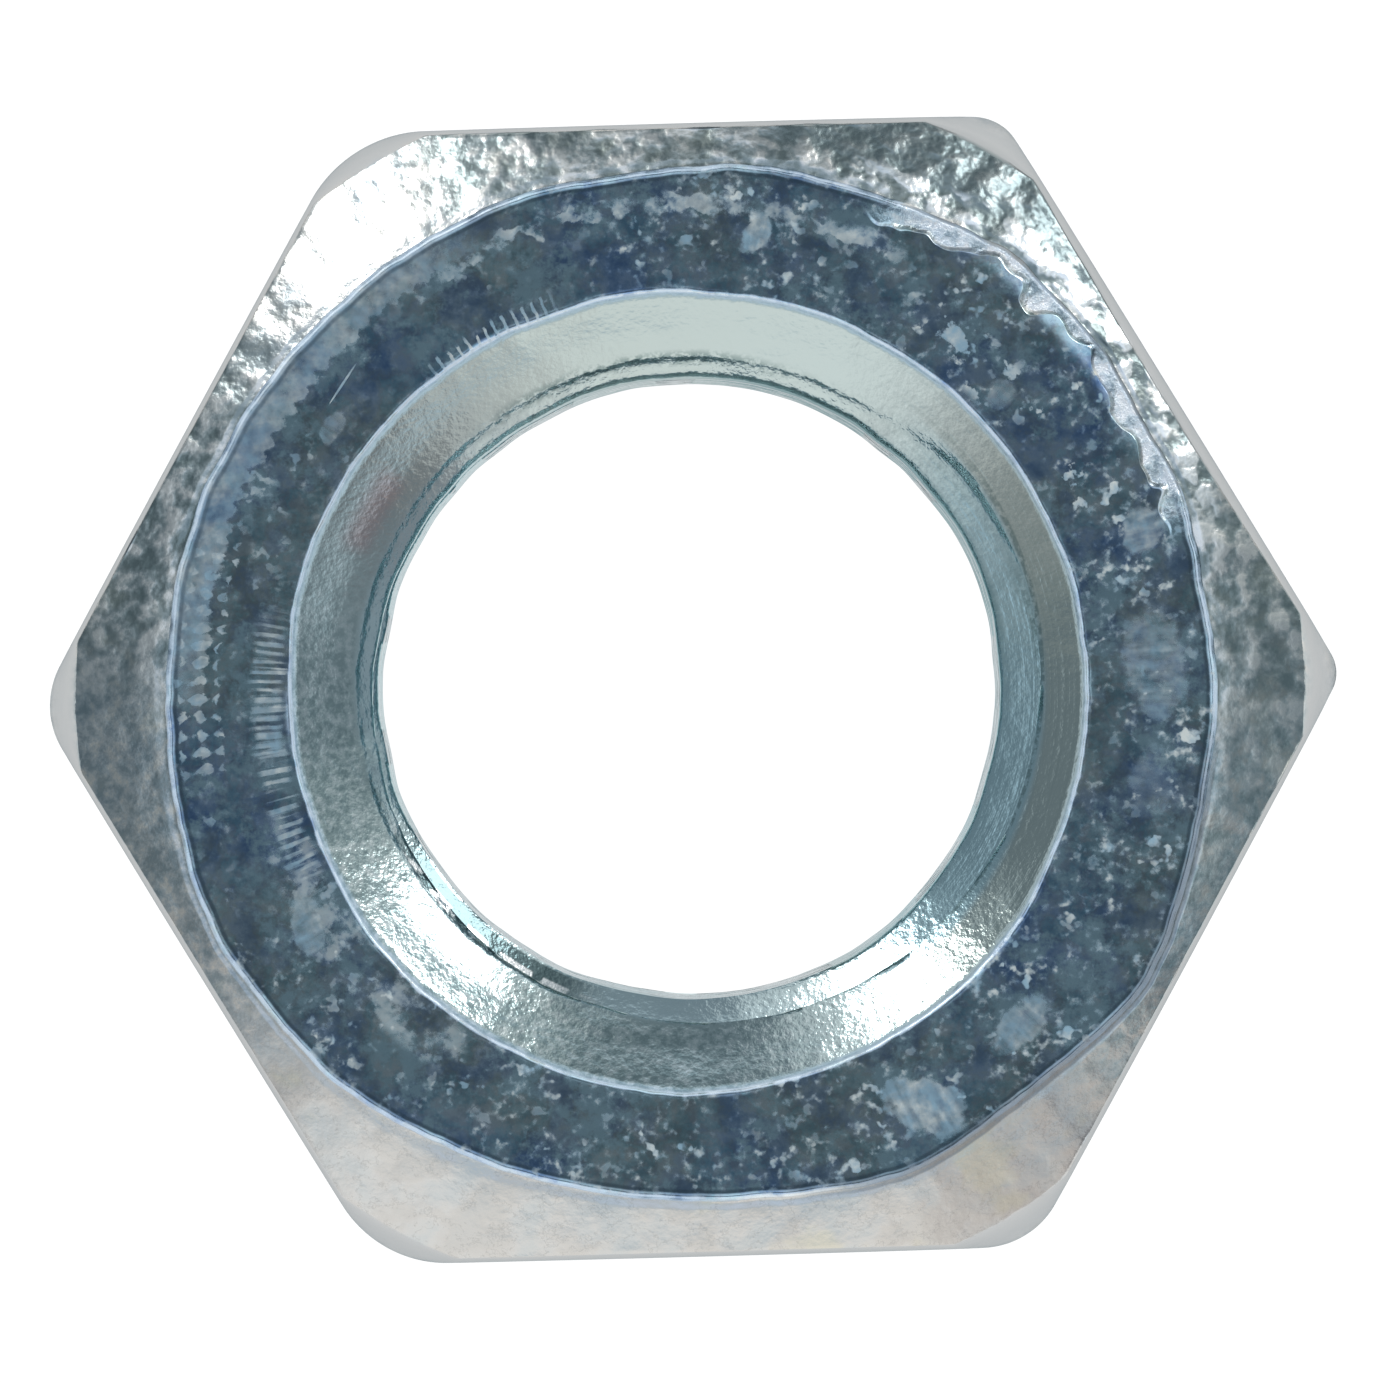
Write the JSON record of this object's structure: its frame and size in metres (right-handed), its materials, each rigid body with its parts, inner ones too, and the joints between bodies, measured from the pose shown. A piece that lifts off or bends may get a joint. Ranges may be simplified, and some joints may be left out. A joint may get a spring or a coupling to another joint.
{
  "type": "hex nut",
  "caption": "Plain full-height hexagon nut with a right-hand metric thread, chamfered on both faces, in bright zinc-plated steel.",
  "frame": {"origin": "centre of the lower bearing face, on the thread's axis", "axes": "+Z along the thread's axis towards the upper bearing face; two opposite corners of the hexagon lie on X and two opposite flats face +Y and -Y"},
  "size_m": [0.0216, 0.019, 0.01],
  "materials": {
    "zinc_plated_steel": "bright electroplated zinc with a thin blue passivation, over a slightly rough cold-forged surface"
  },
  "bodies": {
    "root": {"hex_nut": "zinc_plated_steel"}
  },
  "joints": []
}
